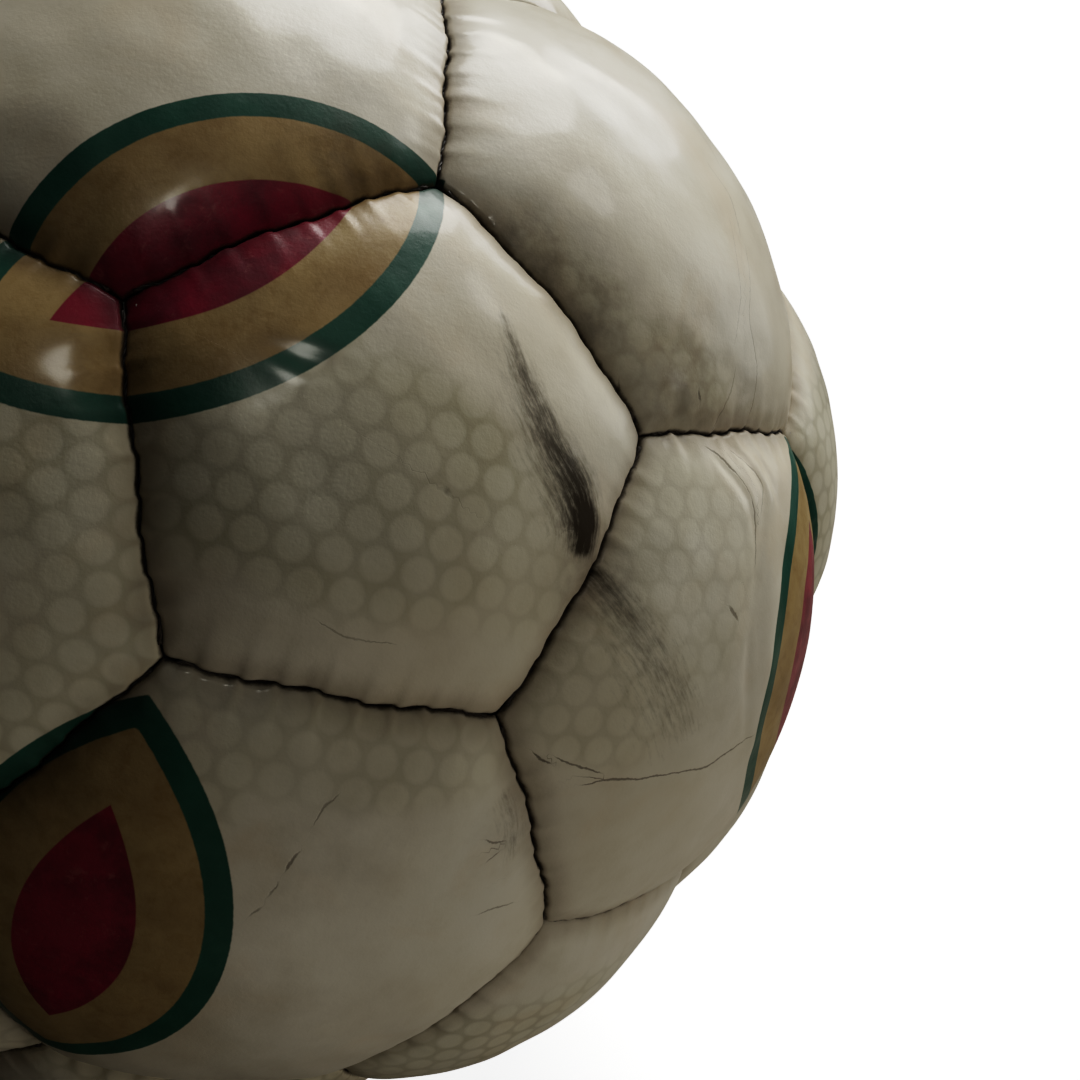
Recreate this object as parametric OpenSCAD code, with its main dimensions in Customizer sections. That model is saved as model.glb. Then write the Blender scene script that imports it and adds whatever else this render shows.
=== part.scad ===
// A hand-stitched soccer ball: twelve pentagon and twenty hexagon cover panels, each with its
// foam pad and cloth lining, sewn edge to edge round a rubber bladder, with a push-in valve.
// The origin is the ball's centre. +Z runs out through the valve, and a pentagon faces -Y.

/* [Ball] */
// Diameter over the crowns of the panels
ball_d = 220; // [210:1:224]
// How far the middle of a seam lies below the crowns
seam_depth = 3.6; // [2.5:0.1:4.2]
// Clear gap between two turned-in panel edges
seam_gap = 0.9; // [0.8:0.1:1.4]

/* [Layers] */
// Thickness of a cover panel's skin
skin_t = 1.2; // [0.9:0.1:1.4]
// Thickness of a cover panel's turned-in rim
rim_t = 1.2; // [0.9:0.1:1.6]
// Distance from the crowns down to the inside of the lining
shell_t = 7; // [6.6:0.1:8]
// Thickness of the cloth lining
lining_t = 1.5; // [1:0.1:2]
// Thickness of the bladder wall
bladder_t = 0.8; // [0.6:0.1:1.4]

/* [Seams] */
// Diameter of the waxed thread
thread_d = 0.7; // [0.4:0.1:0.7]
// How far above the lining's inside the thread runs
thread_height = 1.2; // [1:0.1:1.4]

/* [Valve] */
// Diameter of the inflating needle's hole
needle_d = 2; // [1.8:0.1:2.4]
// Diameter of the plug's shank
plug_d = 5; // [4.5:0.1:6]
// Diameter of the plug's head
plug_head_d = 7; // [6.6:0.1:7.6]
// Thickness of the plug's head at its edge
plug_head_t = 1.1; // [0.9:0.1:1.5]
// Length of the plug below its head
plug_length = 16; // [13:0.5:20]
// Diameter of the housing's stem
stem_d = 10; // [9.6:0.1:12]
// Diameter of the housing's flange
flange_d = 24; // [20:1:28]
// Thickness of the flange at its edge
flange_t = 1.6; // [1.2:0.1:2]
// How far the valve sits below the skin
valve_recess = 0.4; // [0.2:0.1:0.8]

/* [Patches] */
// Diameter of the patch that bonds the valve to the lining
valve_patch_d = 40; // [32:1:44]
// Thickness of that patch
valve_patch_t = 0.8; // [0.5:0.1:0.9]
// Diameter of the patch that balances the valve
balance_patch_d = 34; // [24:1:40]
// Thickness of the balancing patch
balance_patch_t = 1; // [0.6:0.1:2]

/* [Hidden] */
$fn = 96;
bond_gap = 0.05;            // glue line between two bonded layers
valve_gap = 0.1;            // clearance round the stem where it passes through the layers
plug_gap = 0.05;            // running clearance round the plug
head_seat_gap = 0.02;       // clearance under the plug's head
sleeve_wall = 1.4;          // wall of the housing's sleeve below the flange
lip_length = 2;             // closed end of the plug, which the slit opens
slit_width = 0.3;           // slit that the needle pushes open
lead_in = 0.7;              // depth and width of the funnel over the needle's hole

ball_r = ball_d / 2;
lining_r = ball_r - shell_t;
foam_r = lining_r + lining_t + bond_gap;
bladder_r = lining_r - 2 * bond_gap;
bladder_inner_r = bladder_r - bladder_t;
thread_r = lining_r + thread_height;

// The pentagons face the twelve corners of an icosahedron, and the hexagons its twenty faces.
ring_elevation = atan(1 / 2);
front = -90;
function direction(azimuth, elevation) =
    [cos(azimuth) * cos(elevation), sin(azimuth) * cos(elevation), sin(elevation)];
function unit(v) = v / norm(v);
function angle_between(a, b) = acos(unit(a) * unit(b));
pentagon_axes = concat(
    [[0, 0, 1]],
    [for (k = [0:4]) direction(front + 72 * k, ring_elevation)],
    [for (k = [0:4]) direction(front + 36 + 72 * k, -ring_elevation)],
    [[0, 0, -1]]);
function neighbours(i, j) = i != j && pentagon_axes[i] * pentagon_axes[j] > 0.4;
pairs = [for (i = [0:10], j = [i + 1:11]) if (neighbours(i, j)) [i, j]];
triples = [for (i = [0:9], j = [i + 1:10], k = [j + 1:11])
    if (neighbours(i, j) && neighbours(j, k) && neighbours(i, k)) [i, j, k]];

// A panel corner lies a third of the way along the line from one pentagon's axis to the next.
function corner(i, j) = unit(2 * pentagon_axes[i] + pentagon_axes[j]);
function hexagon_axis(n) = unit(pentagon_axes[triples[n][0]] + pentagon_axes[triples[n][1]]
    + pentagon_axes[triples[n][2]]);
function a_neighbour(i) = [for (j = [0:11]) if (neighbours(i, j)) j][0];

// A panel's shape is [number of sides, angle from axis to corner, angle from axis to side].
function side_angle(corner_angle, sides) = atan(tan(corner_angle) * cos(180 / sides));
pentagon_corner = angle_between(pentagon_axes[0], corner(0, 1));
hexagon_corner = angle_between(hexagon_axis(0), corner(triples[0][0], triples[0][1]));
PENTAGON = [5, pentagon_corner, side_angle(pentagon_corner, 5)];
HEXAGON = [6, hexagon_corner, side_angle(hexagon_corner, 6)];

// A panel bulges as a smaller sphere, which touches the ball at the crown and dips at the seams.
function bulge_offset(shape) =
    let (seam_r = ball_r - seam_depth)
    (pow(ball_r, 2) - pow(seam_r, 2)) / (2 * (ball_r - seam_r * cos(shape[2])));
module bulge(shape, depth) {
    offset = bulge_offset(shape);
    translate([0, 0, offset]) sphere(r = ball_r - offset - depth);
}

// The cone of space that a panel fills, from the ball's centre out, drawn in from its sides.
module wedge(shape, inset) {
    sides = shape[0];
    reach = 1.5 * ball_r;
    rim = [for (k = [0:sides - 1]) reach * direction(360 * k / sides, 90 - shape[1])];
    translate([0, 0, inset / sin(shape[2])])
        polyhedron(
            points = concat([[0, 0, 0]], rim),
            faces = concat([for (k = [0:sides - 1]) [0, 1 + k, 1 + (k + 1) % sides]],
                [[for (k = [0:sides - 1]) sides - k]]));
}

// Puts a panel drawn about +Z, with its first corner towards +X, in its place on the ball.
module on_ball(axis, first_corner) {
    x = unit(first_corner - (first_corner * axis) * axis);
    y = cross(axis, x);
    multmatrix([[x[0], y[0], axis[0], 0], [x[1], y[1], axis[1], 0], [x[2], y[2], axis[2], 0]])
        children();
}
module at_pentagon(i) {
    on_ball(pentagon_axes[i], corner(i, a_neighbour(i))) children();
}
module at_hexagon(n) {
    on_ball(hexagon_axis(n), corner(triples[n][0], triples[n][1])) children();
}

module cover_panel(shape) {
    difference() {
        intersection() {
            wedge(shape, seam_gap / 2);
            bulge(shape, 0);
        }
        intersection() {
            wedge(shape, seam_gap / 2 + rim_t);
            bulge(shape, skin_t);
        }
        sphere(r = lining_r);
    }
}

// What the turned-in rim of a cover panel encloses, down to the ball's centre.
module inside_cover(shape) {
    intersection() {
        wedge(shape, seam_gap / 2 + rim_t + bond_gap);
        bulge(shape, skin_t + bond_gap);
    }
}

module foam_pad(shape) {
    difference() {
        inside_cover(shape);
        sphere(r = foam_r);
    }
}

module lining(shape) {
    intersection() {
        inside_cover(shape);
        difference() {
            sphere(r = lining_r + lining_t);
            sphere(r = lining_r);
        }
    }
}

// The way through the layers for the valve's stem, along +Z.
module valve_hole() {
    cylinder(d = stem_d + 2 * valve_gap, h = 2 * ball_r);
}

module pentagon_panel(i) {
    color("ivory")
        difference() {
            at_pentagon(i) cover_panel(PENTAGON);
            if (i == 0) valve_hole();
        }
}

module hexagon_panel(n) {
    color("ivory") at_hexagon(n) cover_panel(HEXAGON);
}

module pentagon_foam_pads() {
    color("whitesmoke") {
        difference() {
            foam_pad_at_pentagon(0);
            valve_hole();
        }
        for (i = [1:11]) foam_pad_at_pentagon(i);
    }
}
module foam_pad_at_pentagon(i) {
    at_pentagon(i) foam_pad(PENTAGON);
}

module hexagon_foam_pads() {
    color("whitesmoke") for (n = [0:19]) at_hexagon(n) foam_pad(HEXAGON);
}

module pentagon_linings() {
    color("wheat") {
        difference() {
            at_pentagon(0) lining(PENTAGON);
            valve_hole();
            intersection() {
                sphere(r = lining_r + valve_patch_t + bond_gap);
                cylinder(d = valve_patch_d + 2 * valve_gap, h = 2 * ball_r);
            }
        }
        for (i = [1:11]) at_pentagon(i) lining(PENTAGON);
    }
}

module hexagon_linings() {
    color("wheat") for (n = [0:19]) at_hexagon(n) lining(HEXAGON);
}

// A round cord along the great circle from one panel corner to the next.
module thread(from, to) {
    trim = asin((seam_gap + thread_d) / thread_r);
    x = unit(from);
    z = unit(cross(from, to));
    y = cross(z, x);
    multmatrix([[x[0], y[0], z[0], 0], [x[1], y[1], z[1], 0], [x[2], y[2], z[2], 0]])
        rotate([0, 0, trim])
            rotate_extrude(angle = angle_between(from, to) - 2 * trim)
                translate([thread_r, 0]) circle(d = thread_d, $fn = 32);
}

module pentagon_seam_threads() {
    color("saddlebrown")
        for (t = triples, s = [0:2])
            thread(corner(t[s], t[(s + 1) % 3]), corner(t[s], t[(s + 2) % 3]));
}

module hexagon_seam_threads() {
    color("saddlebrown") for (p = pairs) thread(corner(p[0], p[1]), corner(p[1], p[0]));
}

module bladder() {
    color("dimgray")
        difference() {
            sphere(r = bladder_r);
            sphere(r = bladder_inner_r);
            valve_hole();
        }
}

// A round patch between two spheres, on the +Z side.
module round_patch(outer_r, thickness, diameter) {
    intersection() {
        difference() {
            sphere(r = outer_r);
            sphere(r = outer_r - thickness);
        }
        cylinder(d = diameter, h = 2 * ball_r);
    }
}

module valve_patch() {
    color("darkslategray")
        difference() {
            round_patch(lining_r + valve_patch_t, valve_patch_t, valve_patch_d);
            valve_hole();
        }
}

module balance_patch() {
    color("dimgray")
        rotate([180, 0, 0])
            round_patch(bladder_inner_r - bond_gap, balance_patch_t, balance_patch_d);
}

// Heights of the valve's steps above the ball's centre.
flange_r = bladder_inner_r - bond_gap;
flange_base = sqrt(pow(flange_r, 2) - pow(flange_d / 2, 2)) - flange_t;
head_seat = ball_r - valve_recess - plug_head_t - head_seat_gap;
head_base = head_seat + head_seat_gap;
plug_tip = head_base - plug_length;
needle_floor = plug_tip + lip_length;
needle_mouth = ball_r - valve_recess - lead_in;

module valve_housing() {
    color("gainsboro")
        difference() {
            union() {
                intersection() {
                    union() {
                        translate([0, 0, flange_base]) cylinder(d = stem_d, h = 2 * shell_t);
                        // The sleeve below the flange is thinner than the stem.
                        translate([0, 0, plug_tip])
                            cylinder(d = plug_d + 2 * sleeve_wall, h = plug_length);
                    }
                    bulge(PENTAGON, valve_recess);
                }
                intersection() {
                    translate([0, 0, flange_base]) cylinder(d = flange_d, h = 2 * shell_t);
                    sphere(r = flange_r, $fn = 360);
                }
            }
            translate([0, 0, plug_tip - 1]) cylinder(d = plug_d + 2 * plug_gap, h = ball_r);
            translate([0, 0, head_seat]) cylinder(d = plug_head_d + 2 * plug_gap, h = ball_r);
        }
}

module valve_plug() {
    color("silver")
        difference() {
            intersection() {
                union() {
                    translate([0, 0, plug_tip]) cylinder(d = plug_d, h = plug_length + 0.5);
                    translate([0, 0, head_base]) cylinder(d = plug_head_d, h = ball_r);
                }
                bulge(PENTAGON, valve_recess);
            }
            translate([0, 0, needle_floor]) cylinder(d = needle_d, h = ball_r);
            translate([0, 0, needle_mouth])
                cylinder(d1 = needle_d, d2 = needle_d + 4 * lead_in, h = 2 * lead_in);
            translate([-plug_d, -slit_width / 2, plug_tip - 1])
                cube([2 * plug_d, slit_width, lip_length + 1]);
        }
}

function two_digits(n) = str(n < 10 ? "0" : "", n);
PENTAGON_PANELS = [for (n = [1:12]) str("pentagon_panel_", two_digits(n))];
HEXAGON_PANELS = [for (n = [1:20]) str("hexagon_panel_", two_digits(n))];

for (i = [0:11]) pentagon_panel(i);
for (n = [0:19]) hexagon_panel(n);
pentagon_foam_pads();
hexagon_foam_pads();
pentagon_linings();
hexagon_linings();
pentagon_seam_threads();
hexagon_seam_threads();
bladder();
valve_housing();
valve_plug();
valve_patch();
balance_patch();
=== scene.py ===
"""The looks of the soccer ball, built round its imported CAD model.

Lengths on the ball are in millimetres and are scaled to metres when a mesh is made. Every panel has
its own flat coordinates, in millimetres east and north of its middle, seen from outside with +Z up.
"""

import functools
import math

import bpy
import numpy as np
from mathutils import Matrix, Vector


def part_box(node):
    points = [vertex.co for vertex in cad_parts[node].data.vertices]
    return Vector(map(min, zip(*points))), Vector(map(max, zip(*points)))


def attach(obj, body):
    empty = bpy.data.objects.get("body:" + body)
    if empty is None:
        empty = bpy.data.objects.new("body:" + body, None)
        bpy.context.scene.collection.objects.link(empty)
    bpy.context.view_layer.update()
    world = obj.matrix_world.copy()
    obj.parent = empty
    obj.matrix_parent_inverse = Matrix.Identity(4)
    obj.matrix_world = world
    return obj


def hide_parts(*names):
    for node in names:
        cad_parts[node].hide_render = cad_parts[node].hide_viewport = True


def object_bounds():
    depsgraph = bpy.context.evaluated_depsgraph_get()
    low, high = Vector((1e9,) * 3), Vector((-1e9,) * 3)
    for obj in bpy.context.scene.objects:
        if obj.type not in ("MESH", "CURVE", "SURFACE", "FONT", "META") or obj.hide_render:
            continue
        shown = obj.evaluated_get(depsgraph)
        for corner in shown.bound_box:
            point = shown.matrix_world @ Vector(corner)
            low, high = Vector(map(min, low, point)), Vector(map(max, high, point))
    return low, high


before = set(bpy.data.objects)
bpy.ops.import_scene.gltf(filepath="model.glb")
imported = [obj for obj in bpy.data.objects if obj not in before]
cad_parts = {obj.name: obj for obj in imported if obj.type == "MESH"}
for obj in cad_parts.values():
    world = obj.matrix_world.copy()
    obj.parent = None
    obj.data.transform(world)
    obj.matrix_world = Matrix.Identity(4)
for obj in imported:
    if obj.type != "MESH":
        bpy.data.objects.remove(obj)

CAD_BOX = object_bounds()
MM = 0.001

# ---- sizes, from the CAD model

def vertices_mm(node):
    """The vertices of a CAD node, in mm."""
    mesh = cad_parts[node].data
    places = np.zeros(len(mesh.vertices) * 3)
    mesh.vertices.foreach_get("co", places)
    return places.reshape(-1, 3) / MM


def node_radii(node):
    """Smallest and largest distance of a CAD node's vertices from the ball's centre."""
    radii = np.linalg.norm(vertices_mm(node), axis=1)
    return radii.min(), radii.max()


PANEL_FOOT, CROWN = node_radii("hexagon_panel_01")
RIM_FOOT = PANEL_FOOT + 0.1
LINING_FOOT, LINING_TOP = node_radii("hexagon_linings")
PATCH_TOP = node_radii("valve_patch")[1]
PATCH_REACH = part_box("valve_patch")[1].x / MM + 0.2
THREAD_RADIUS = node_radii("hexagon_seam_threads")[0]
VALVE_HOLE = np.hypot(*vertices_mm("pentagon_panel_01")[:, :2].T).min()

# Mesh steps along one side of a cover, and of a pad or a lining
EDGE_STEPS, PAD_STEPS = 72, 14

# Shape of a cover
BULGE = 2.6                 # sag of a side's middle below the crown, from the pressure alone
SHOULDER = 2.2              # further sag where the stitches pull the rim down
SHOULDER_REACH = 6.5        # how far from the seam that sag fades
ROLL = 0.75                 # radius with which the rim turns in
SKIN = 1.2                  # thickness of the turned-in rim
SKIN_INSIDE = SKIN + 0.1    # depth of the cover's inner face
GAP_TOP = 0.05              # half of the gap between two rims where they touch
STITCH_GAP = 0.1            # what a stitch adds to that
GAP_FOOT = 0.45             # half of the gap down at the thread
RIM_INSET = GAP_FOOT + SKIN
STITCHES = 9                # stitches along one seam

# Shape of the pads and linings
PAD_INSET = RIM_INSET + 0.15
PAD_DROP = SKIN + 0.25      # depth of a pad's crown below the cover's
PAD_ROUND = 2.2             # how far from its edge a pad rounds off

# The thread of a seam: two plies, twisted round each other
PLY_RADIUS = 0.16
PLY_OFFSET = 0.14           # from the thread's middle to a ply's
PLY_TURN = 2.6              # length of one turn
PLY_STEP, PLY_SIDES = 0.42, 6
THREAD_END = 1.7            # what a thread leaves free at each corner
THREAD_LIFT = 0.1
STITCH_LIFT = 0.12          # how much higher the thread runs at a stitch


def unit(v):
    v = np.asarray(v, float)
    return v / np.linalg.norm(v, axis=-1, keepdims=True)


def direction(azimuth, elevation):
    a, e = math.radians(azimuth), math.radians(elevation)
    return np.array([math.cos(a) * math.cos(e), math.sin(a) * math.cos(e), math.sin(e)])


def smooth(x):
    x = np.clip(x, 0, 1)
    return x * x * (3 - 2 * x)


# ---- the 32-panel layout

RING_ELEVATION = math.degrees(math.atan(0.5))
PENTAGON_AXES = np.array(
    [(0, 0, 1)]
    + [direction(-90 + 72 * k, RING_ELEVATION) for k in range(5)]
    + [direction(-54 + 72 * k, -RING_ELEVATION) for k in range(5)]
    + [(0, 0, -1)]
)


def neighbours(i, j):
    return i != j and PENTAGON_AXES[i] @ PENTAGON_AXES[j] > 0.4


def corner(i, j):
    """The corner of pentagon i on the line to pentagon j."""
    return unit(2 * PENTAGON_AXES[i] + PENTAGON_AXES[j])


def local_frame(axis):
    """Rows are east, north and out, for a point of the ball seen from outside."""
    pole = np.array([0, 0, 1]) if abs(axis[2]) < 0.99 else np.array([0, 1, 0])
    north = unit(pole - (pole @ axis) * axis)
    return np.array([np.cross(north, axis), north, axis])


def flat(rows, v):
    """Distances east and north of a frame's middle, in mm, for unit vectors v."""
    q = v @ rows.T
    across = np.hypot(q[:, 0], q[:, 1])
    arc = CROWN * np.arctan2(across, q[:, 2])
    return q[:, :2] * (arc / np.maximum(across, 1e-9))[:, None]


def lifted(rows, east, north):
    """The unit vector at a place given in flat coordinates."""
    arc = math.hypot(east, north)
    side = math.sin(arc / CROWN) / max(arc, 1e-9)
    return np.array([east * side, north * side, math.cos(arc / CROWN)]) @ rows


class Seam:
    """The line between two neighbouring panels, from one corner to the next."""

    def __init__(self, number, start, end):
        rng = np.random.default_rng(1000 + number)
        self.start = start
        self.normal = unit(np.cross(start, end))
        self.tangent = np.cross(self.normal, start)
        self.length = CROWN * math.acos(start @ end)
        pitch = self.length / STITCHES
        self.stitches = (np.arange(STITCHES) + 0.5 + rng.uniform(-0.14, 0.14, STITCHES)) * pitch
        self.phase = rng.uniform(0, 2 * math.pi, 3)[0]
        self.pull = {1: rng.uniform(0.3, 1.2), -1: rng.uniform(0.3, 1.2)}
        self.saw = rng.choice((-1, 1)) * rng.uniform(0.28, 0.42)

    def along(self, v):
        return CROWN * np.arctan2(v @ self.tangent, v @ self.start)

    def ends(self, s):
        """0 at both corners, 1 from 4 mm in."""
        return smooth(np.minimum(s, self.length - s) / 4)

    def wander(self, s):
        """How far the seam strays sideways, in mm."""
        slow = 0.3 * np.sin(2 * math.pi * s / 19 + self.phase)
        run = (self.turns(s) + 0.5) % 1
        step = np.where(run < 0.8, run / 0.8 - 0.5, 0.5 - smooth((run - 0.8) / 0.2))
        return (slow + self.saw * step) * self.ends(s)

    def turns(self, s):
        """A count that is whole at every stitch."""
        places = np.concatenate([[0], self.stitches, [self.length]])
        counts = np.concatenate([[-0.5], np.arange(STITCHES), [STITCHES - 0.5]])
        return np.interp(s, places, counts)

    def pinch(self, s):
        """1 at a stitch, 0 halfway between two."""
        return 0.5 + 0.5 * np.cos(2 * math.pi * self.turns(s))


class Panel:
    def __init__(self, node, axis, corners):
        self.node = node
        self.axis = axis
        self.rows = local_frame(axis)
        places = [flat(self.rows, c[None])[0] for c in corners]
        order = sorted(range(len(corners)), key=lambda k: math.atan2(places[k][1], places[k][0]))
        self.corners = [corners[k] for k in order]
        self.sides = []


def make_layout():
    triples = [
        (i, j, k)
        for i in range(12) for j in range(i + 1, 12) for k in range(j + 1, 12)
        if neighbours(i, j) and neighbours(j, k) and neighbours(i, k)
    ]
    made = [
        Panel(f"pentagon_panel_{i + 1:02d}", PENTAGON_AXES[i],
              [corner(i, j) for j in range(12) if neighbours(i, j)])
        for i in range(12)
    ]
    for n, t in enumerate(triples):
        corners = [corner(a, b) for a in t for b in t if a != b]
        axis = unit(sum(PENTAGON_AXES[i] for i in t))
        made.append(Panel(f"hexagon_panel_{n + 1:02d}", axis, corners))
    known = {}
    for panel in made:
        for a, b in zip(panel.corners, panel.corners[1:] + panel.corners[:1]):
            key = tuple(sorted([tuple(a.round(6)), tuple(b.round(6))]))
            if key not in known:
                known[key] = Seam(len(known), *(unit(e) for e in key))
            inward = unit(np.cross(a, b))
            side = 1 if inward @ known[key].normal > 0 else -1
            panel.sides.append((known[key], side, inward))
    return made, list(known.values())


PANELS, SEAMS = make_layout()
BY_NODE = {p.node: p for p in PANELS}
FRONT = BY_NODE["pentagon_panel_02"]
UPPER_RIGHT = BY_NODE["hexagon_panel_01"]
MIDDLE_RIGHT = BY_NODE["hexagon_panel_06"]
LOWER = BY_NODE["hexagon_panel_08"]
UPPER_LEFT = BY_NODE["hexagon_panel_02"]
VALVE_PANEL = BY_NODE["pentagon_panel_01"]


def ripples(points, wavelength, seed, count=18):
    """Smooth random heights between about -1 and 1, made of plane waves."""
    rng = np.random.default_rng(seed)
    total = np.zeros(len(points))
    for _ in range(count):
        wave = unit(rng.normal(size=3)) * 2 * math.pi / (wavelength * rng.uniform(0.7, 1.5))
        total += np.sin(points @ wave + rng.uniform(0, 2 * math.pi))
    return total / math.sqrt(count)


# ---- marks of use, patches of painted shade and the print, in flat coordinates

class Line:
    """A curve over a panel through a few points, with a width and a strength at each."""

    STEPS = 24                  # from one point to the next

    def __init__(self, panel, points, widths, strength):
        self.panel = panel
        knots = np.arange(len(points))
        fine = np.linspace(0, knots[-1], self.STEPS * knots[-1] + 1)
        kernel = np.hanning(self.STEPS + 1)[1:-1]
        kernel /= kernel.sum()

        def rounded(values):
            values = np.interp(fine, knots, values)
            padded = np.pad(values, len(kernel) // 2, mode="reflect", reflect_type="odd")
            return np.convolve(padded, kernel, mode="valid")

        self.path = np.stack([rounded(values) for values in np.array(points, float).T], 1)
        arc = np.concatenate([[0], np.cumsum(np.linalg.norm(np.diff(self.path, axis=0), axis=1))])
        self.length = arc[-1]
        more = [np.interp(fine, knots, np.broadcast_to(v, len(points))) for v in (widths, strength)]
        self.traits = np.stack([arc, *more])

    def measure(self, xy):
        """Signed distance across, distance along, width and strength there, for points xy."""
        best = np.full(len(xy), 1e9)
        found = np.zeros((4, len(xy)))
        for k in range(len(self.path) - 1):
            ab = self.path[k + 1] - self.path[k]
            rel = xy - self.path[k]
            t = np.clip(rel @ ab / (ab @ ab), 0, 1)
            off = rel - t[:, None] * ab
            d = np.hypot(off[:, 0], off[:, 1])
            closer = d < best
            best[closer] = d[closer]
            found[0, closer] = (d * np.sign(ab[0] * rel[:, 1] - ab[1] * rel[:, 0]))[closer]
            here = self.traits[:, k, None] * (1 - t) + self.traits[:, k + 1, None] * t
            found[1:, closer] = here[:, closer]
        return found

    def fade(self, along, over, start=0.0):
        """Rises to 1 from both ends of the line, from 0 or, with a start, from a little more."""
        return smooth(np.minimum(along, self.length - along) / over + start)


def lines(panel, *marks):
    """Lines over one panel, each from its points, their widths and the strength."""
    return [Line(panel, *mark) for mark in marks]


def on(panel, marks):
    """Those of the lines that run over a panel."""
    return [line for line in marks if line.panel is panel]


# Black rubbed-on marks
SCUFFS = lines(
    FRONT,
    ([(8.6, 21.8), (11, 16.5), (14.2, 10.8), (18.8, 5.2), (24.4, 0.6), (27.3, -3.4), (28, -9)],
     [0.8, 2.2, 4.2, 5.6, 6.2, 5, 2.8], [0.5, 0.66, 0.7, 0.74, 0.86, 1.05, 0.95]),
) + lines(
    MIDDLE_RIGHT,
    ([(-35, 22.5), (-29, 15.5), (-23, 8.5), (-18, 1.5), (-14, -5)],
     [2.4, 6, 9, 9.5, 7.5], [0.75, 0.56, 0.5, 0.46, 0.36]),
) + lines(
    LOWER,
    ([(25, 31), (29, 25), (31, 17)], [2.5, 4, 2.5], 0.45),
)

# Creases: the strength is how many mm they dent the skin, or raise it where it is negative
CREASES = lines(
    MIDDLE_RIGHT,
    ([(-11.5, 38), (-8, 34.5), (-4.2, 30), (-2.8, 25), (-3.6, 15)], [0.5, 0.8, 0.9, 0.8, 0.5], 0.16),
    ([(-5.5, 39), (-1.4, 34.5), (1, 31), (-1.1, 26), (-2.6, 17)], [0.5, 0.8, 0.9, 0.8, 0.5], 0.16),
    ([(0.5, 39), (4, 33), (5, 27)], [0.6, 1.0, 0.7], 0.18),
    ([(-4.6, 12), (-3.5, 4), (-0.5, -2), (3, -9)], [0.5, 1.0, 1.0, 0.6], 0.16),
    ([(3, 34), (2, 24), (1, 12), (3, 0), (7, -12)], [1.5, 2.6, 2.8, 2.6, 1.5], -0.3),
) + lines(
    UPPER_RIGHT,
    ([(5.2, -37), (2.5, -40.5)], [0.5, 0.9], 0.18),
    ([(10.5, -37), (6.5, -39.4), (4.2, -41)], [0.5, 0.9, 0.9], 0.22),
    ([(14, -36.4), (8.6, -40.4)], [0.5, 0.9], 0.2),
    ([(-5.6, -36), (-8.5, -40.5)], [0.5, 0.8], 0.14),
) + lines(
    FRONT,
    ([(-20.5, 9.2), (-13.7, 7.4), (-6, 7.2)], [1.0, 1.4, 1.0], 0.1),
)

# Thin cracks and scratches: the strength is how dark they are
CRACKS = lines(
    MIDDLE_RIGHT,
    ([(-11.4, 37.7), (-9.7, 37.1), (-7.4, 35.2), (-5.7, 33.6)], [0.08, 0.2, 0.22, 0.08], 0.7),
    ([(-5.7, 33.6), (-4.2, 31.8), (-3.1, 29.9)], [0.06, 0.1, 0.06], 0.4),
    ([(-3.1, 29.9), (-2.6, 26.9), (-3.4, 20)], [0.1, 0.18, 0.06], 0.6),
    ([(-5.5, 37.4), (-1.4, 34.5), (0.2, 33.3), (1.1, 31.6), (-1.1, 26.8)],
     [0.05, 0.12, 0.16, 0.1, 0.05], 0.45),
    ([(-32, -9.6), (-27, -8.6), (-22.5, -9), (-15, -8.6), (-9, -9.1), (-3, -7.6), (4, -6.6)],
     [0.08, 0.2, 0.16, 0.1, 0.2, 0.15, 0.06], 0.8),
    ([(-40.5, -4.6), (-39, -5.7), (-37.4, -6.3)], [0.1, 0.22, 0.1], 0.9),
    ([(-37.2, -5.2), (-33, -6.6), (-29.4, -7.8)], [0.08, 0.18, 0.08], 0.8),
    ([(-10.2, 15), (-9, 14.2), (-7.8, 12.8)], [0.15, 0.35, 0.12], 0.7),
) + lines(
    UPPER_RIGHT,
    ([(4.4, -8), (1.6, -16), (0.8, -20.9), (-1.5, -25.3), (-3.1, -28.1)],
     [0.04, 0.08, 0.1, 0.1, 0.05], 0.28),
    ([(-2.7, -31), (-4.3, -34.5), (-5.9, -36.6), (-8.5, -40.3)], [0.06, 0.15, 0.14, 0.08], 0.38),
    ([(6.5, -12), (3.7, -20.6), (2.5, -23.6), (2.9, -26.4), (4, -30.6), (3.2, -34.4), (2.2, -37.8)],
     [0.04, 0.08, 0.1, 0.16, 0.14, 0.14, 0.08], 0.38),
    ([(-12.6, -34), (-12.1, -35.9)], [0.12, 0.24], 0.7),
    ([(-27.2, -31.6), (-26.7, -34.8)], [0.14, 0.22], 0.6),
    ([(6, 2), (8.6, -3.6), (7.4, -7), (5.8, -11)], [0.08, 0.14, 0.1, 0.06], 0.35),
    ([(10, 14), (11.5, 8), (11, 2)], [0.05, 0.12, 0.05], 0.3),
) + lines(
    LOWER,
    ([(2.2, 29.0), (0.8, 27.6), (0, 24.6)], [0.05, 0.2, 0.05], 0.5),
    ([(-0.9, 21), (-1.4, 19.6), (-1.9, 18)], [0.08, 0.3, 0.08], 0.7),
    ([(-2.1, 16.5), (-2.8, 14.2)], [0.1, 0.16], 0.5),
    ([(-3.3, 12.5), (-4.3, 11)], [0.18, 0.1], 0.55),
    ([(24, 22.9), (26, 22.3), (28, 22.2)], [0.08, 0.2, 0.08], 0.7),
    ([(25.4, 19.4), (27.4, 20.8)], [0.1, 0.16], 0.6),
    ([(27, 10.6), (30, 11.2), (33.4, 10.9)], [0.08, 0.18, 0.06], 0.6),
) + lines(
    FRONT,
    ([(5.0, -4.0), (5.5, -4.2)], [0.45, 0.4], 1.0),
    ([(-6, -22), (-2, -23.4), (4, -23)], [0.06, 0.14, 0.06], 0.4),
)
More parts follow.
